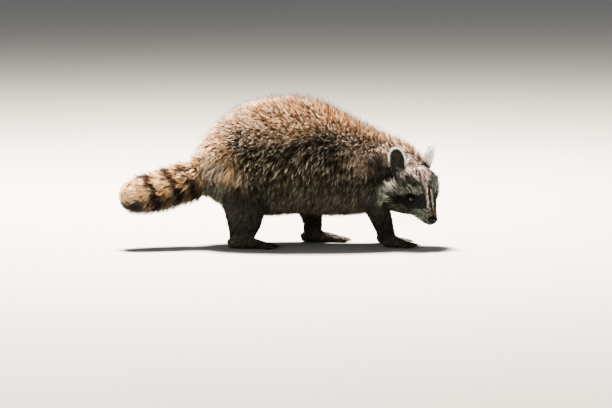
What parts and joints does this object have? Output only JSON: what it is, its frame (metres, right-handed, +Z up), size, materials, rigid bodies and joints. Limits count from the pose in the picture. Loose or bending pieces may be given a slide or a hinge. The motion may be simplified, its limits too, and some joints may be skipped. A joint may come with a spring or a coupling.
{
  "type": "standing raccoon model",
  "caption": "Life-size still raccoon in full coat, walking with its head lowered and turned to its right, ringed bushy tail trailing, standing on flat soles.",
  "frame": {"origin": "centre of the bounding box at floor level, under the soles", "axes": "+X ahead along the body, +Y to the animal's left, +Z up"},
  "size_m": [0.6262, 0.2038, 0.2942],
  "materials": {
    "coat_body": "long grizzled fur",
    "coat_face": "short fur, dark mask between pale bands",
    "coat_ear": "short soft fur with a pale rim",
    "coat_tail": "bushy fur in dark and tan rings",
    "coat_leg": "dark fur",
    "coat_foot": "very short fur over bare pads",
    "nose": "moist pebbled skin",
    "eye": "polished",
    "claw": "smooth horn"
  },
  "bodies": {
    "root": {"trunk": "coat_body", "neck": "coat_body", "head": "coat_face", "ear_left": "coat_ear", "ear_right": "coat_ear", "eye_left": "eye", "eye_right": "eye", "nose": "nose", "tail_root": "coat_tail", "tail_mid": "coat_tail", "tail_tip": "coat_tail", "foreleg_left": "coat_leg", "foreleg_right": "coat_leg", "hindleg_left": "coat_leg", "hindleg_right": "coat_leg", "forepaw_left": "coat_foot", "forepaw_right": "coat_foot", "hindfoot_left": "coat_foot", "hindfoot_right": "coat_foot", "forepaw_left_claw_1": "claw", "forepaw_left_claw_2": "claw", "forepaw_left_claw_3": "claw", "forepaw_left_claw_4": "claw", "forepaw_left_claw_5": "claw", "forepaw_right_claw_1": "claw", "forepaw_right_claw_2": "claw", "forepaw_right_claw_3": "claw", "forepaw_right_claw_4": "claw", "forepaw_right_claw_5": "claw", "hindfoot_left_claw_1": "claw", "hindfoot_left_claw_2": "claw", "hindfoot_left_claw_3": "claw", "hindfoot_left_claw_4": "claw", "hindfoot_left_claw_5": "claw", "hindfoot_right_claw_1": "claw", "hindfoot_right_claw_2": "claw", "hindfoot_right_claw_3": "claw", "hindfoot_right_claw_4": "claw", "hindfoot_right_claw_5": "claw"}
  },
  "joints": []
}
